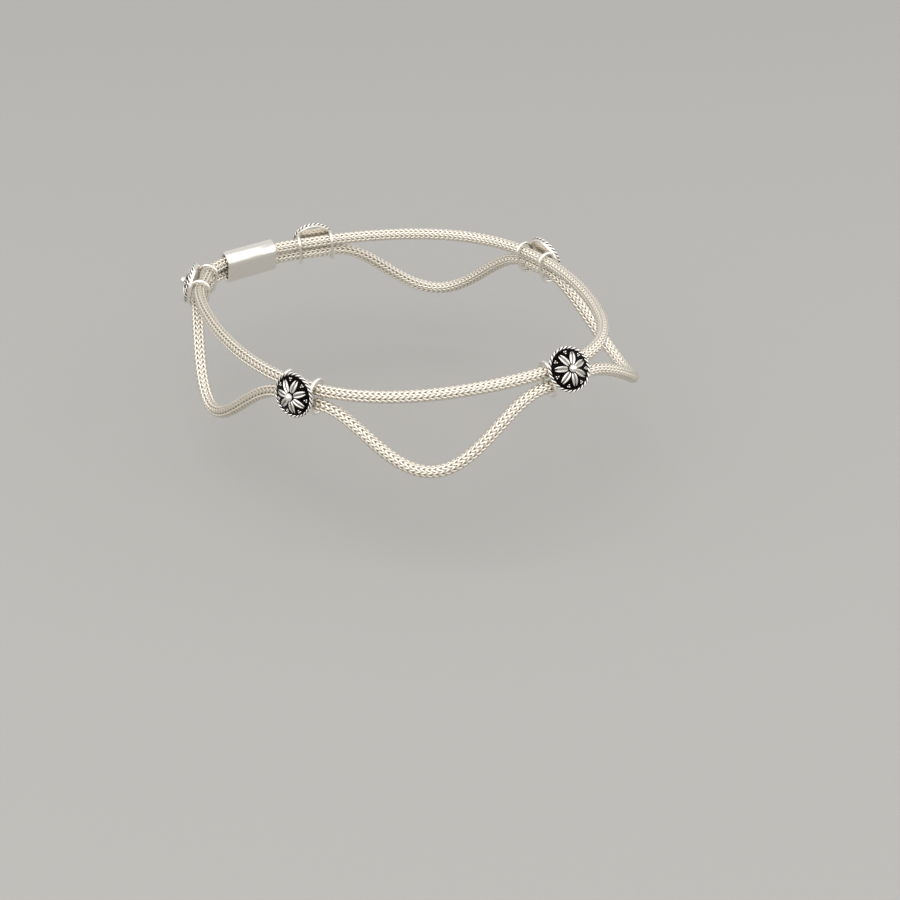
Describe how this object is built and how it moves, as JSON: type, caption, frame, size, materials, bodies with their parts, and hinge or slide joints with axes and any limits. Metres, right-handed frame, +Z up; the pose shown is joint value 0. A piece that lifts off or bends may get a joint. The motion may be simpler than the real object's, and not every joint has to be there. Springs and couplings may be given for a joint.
{
  "type": "anklet",
  "caption": "Double-strand anklet of knitted round chain: one strand close to the ankle, one in swags between rosette medallions with rope rims.",
  "frame": {"origin": "middle of the ankle's opening, at the level of the upper chain", "axes": "+Z up the leg, -Y towards the front of the ankle (the toes), X across the ankle"},
  "size_m": [0.0738, 0.0942, 0.025],
  "materials": {
    "knitted_silver": "satin",
    "cast_silver": "polished relief on an oxidised black ground",
    "plain_silver": "polished"
  },
  "bodies": {
    "root": {"upper_chain": "knitted_silver", "lower_chain": "knitted_silver", "medallion_1": "cast_silver", "medallion_2": "cast_silver", "medallion_3": "cast_silver", "medallion_4": "cast_silver", "medallion_5": "cast_silver", "clasp": "plain_silver"}
  },
  "joints": []
}
